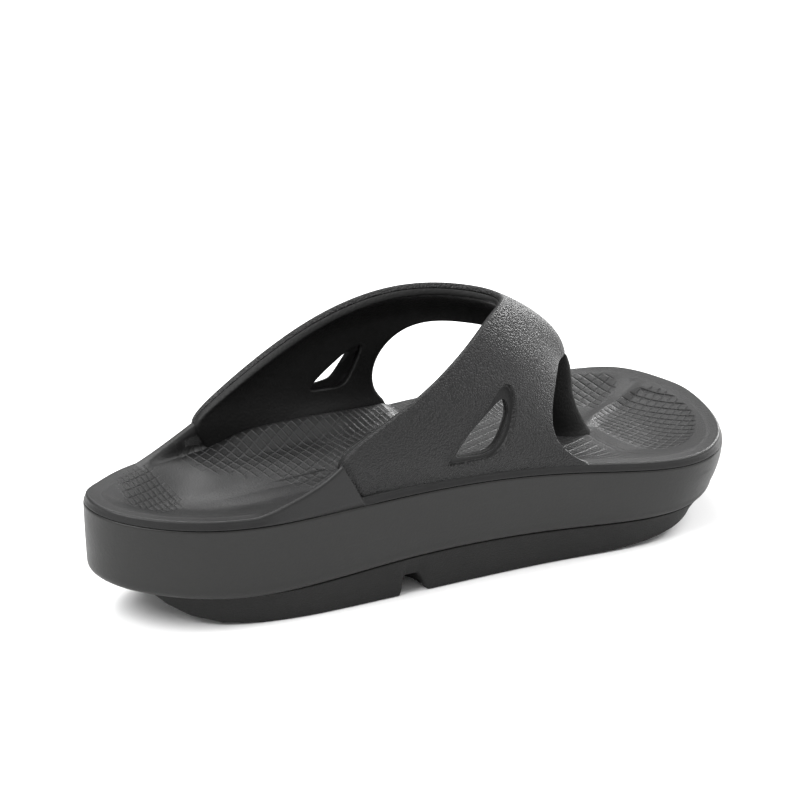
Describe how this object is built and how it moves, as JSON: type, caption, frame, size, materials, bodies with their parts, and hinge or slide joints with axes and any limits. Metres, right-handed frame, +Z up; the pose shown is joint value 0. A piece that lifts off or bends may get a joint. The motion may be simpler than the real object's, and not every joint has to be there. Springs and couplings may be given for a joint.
{
  "type": "thong sandal",
  "caption": "Right-foot thong sandal in thick moulded foam: contoured footbed, deep midsole, grooved outsole, broad vented strap over the instep and a post between the toes.",
  "frame": {"origin": "on the ground, under the middle of the sandal's length and width", "axes": "+X from the heel to the toe, +Y towards the inner (big toe) side, +Z up"},
  "size_m": [0.2855, 0.1049, 0.1069],
  "materials": {
    "footbed_foam": "satin moulded foam with pressed grooves",
    "midsole_foam": "satin moulded foam",
    "outsole_rubber": "matte fine-grained",
    "strap_skin": "matte finely pebbled",
    "lining_foam": "smooth matte"
  },
  "bodies": {
    "root": {"footbed": "footbed_foam", "midsole": "midsole_foam", "outsole": "outsole_rubber", "strap": "strap_skin", "strap_lining": "lining_foam", "toe_post": "lining_foam"}
  },
  "joints": []
}
